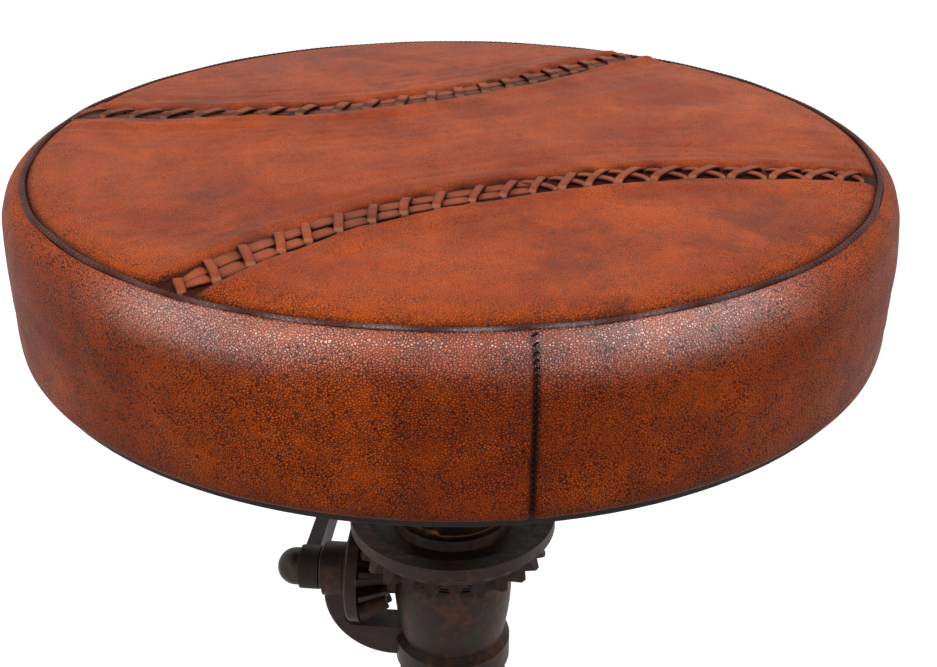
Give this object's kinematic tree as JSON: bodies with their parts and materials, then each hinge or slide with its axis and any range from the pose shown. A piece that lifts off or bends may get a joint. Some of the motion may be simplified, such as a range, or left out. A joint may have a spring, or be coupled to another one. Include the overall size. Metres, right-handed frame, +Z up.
{
  "type": "adjustable stool",
  "caption": "Round leather-seated work stool with a laced cushion, raised by a side crank and bevel gears on an iron pedestal with a foot ring.",
  "frame": {"origin": "on the floor, under the column's axis, at the centre of the whole stool's footprint", "axes": "+Z up along the column; the picture looks along +Y from the front; the crank shaft points to -X and slightly to +Y"},
  "size_m": [0.3606, 0.3606, 0.7074],
  "materials": {
    "leather": "waxed, mottled, semi-gloss",
    "lacing": "waxed leather strap, lighter than the cover",
    "foam": "open-cell foam with a cloth skin",
    "plywood": "sealed plywood",
    "lining": "matt black lining cloth",
    "plate_steel": "dark brown blackened sheet",
    "cast_iron": "dark brown patina with rust tints",
    "dark_steel": "blackened and oiled",
    "fastener_steel": "blackened",
    "bronze": "dull bearing bronze",
    "grip_wood": "oiled dark hardwood",
    "glide_rubber": "matt black"
  },
  "bodies": {
    "stand": {"column_tube": "dark_steel", "head_casting": "cast_iron", "upper_bush": "bronze", "lower_bush": "bronze", "thrust_washer": "bronze", "inner_shaft_bush": "bronze", "outer_shaft_bush": "bronze", "head_screws": "fastener_steel", "guide_sleeve": "bronze", "guide_key": "dark_steel", "guide_screws": "fastener_steel", "base_hub": "cast_iron", "hub_set_screws": "fastener_steel", "leg_1": "cast_iron", "leg_2": "cast_iron", "leg_3": "cast_iron", "leg_4": "cast_iron", "leg_bolts": "fastener_steel", "floor_glides": "glide_rubber", "glide_screws": "fastener_steel", "foot_ring": "dark_steel", "ring_hub": "cast_iron", "ring_spokes": "dark_steel", "ring_set_screws": "fastener_steel"},
    "gear": {"bevel_gear": "cast_iron", "lift_nut": "bronze", "nut_screws": "fastener_steel", "retaining_collar": "dark_steel", "collar_screws": "fastener_steel"},
    "seat": {"top_panel_front": "leather", "top_panel_middle": "leather", "top_panel_rear": "leather", "side_band": "leather", "seat_welt": "leather", "front_lacing": "lacing", "rear_lacing": "lacing", "foam_pad": "foam", "seat_board": "plywood", "t_nuts": "fastener_steel", "dust_cover": "lining", "base_plate": "plate_steel", "seat_flange": "cast_iron", "flange_bolts": "fastener_steel", "lift_screw": "dark_steel", "screw_pin": "fastener_steel", "stop_collar": "dark_steel", "stop_pin": "fastener_steel"},
    "crank": {"drive_pinion": "cast_iron", "crank_shaft": "dark_steel", "pinion_key": "dark_steel", "crank_washer": "fastener_steel", "crank_arm": "dark_steel", "crank_nut": "fastener_steel", "grip_spindle": "dark_steel"},
    "grip": {"crank_grip": "grip_wood"}
  },
  "joints": [
    {"name": "gear_spin", "type": "hinge", "parent": "stand", "child": "gear", "pos_m": [0, 0, 0.5057], "axis": [0, 0, -1], "range_deg": [-1575, 5175]},
    {"name": "seat_lift", "type": "slide", "parent": "stand", "child": "seat", "axis": [0, 0, 1], "range_m": [-0.035, 0.115]},
    {"name": "crank_turn", "type": "hinge", "parent": "stand", "child": "crank", "pos_m": [0, 0, 0.4841], "axis": [-0.9945, 0.1045, 0], "range_deg": [-3150, 10350]},
    {"name": "grip_spin", "type": "hinge", "parent": "crank", "child": "grip", "pos_m": [0.00941, 0.08951, 0.4841], "axis": [-0.9945, 0.1045, 0], "continuous": true}
  ],
  "couplings": [
    {"joint": "seat_lift", "follows": "gear_spin", "m_per_rad": 0.0012732},
    {"joint": "crank_turn", "follows": "gear_spin", "ratio": 2}
  ]
}
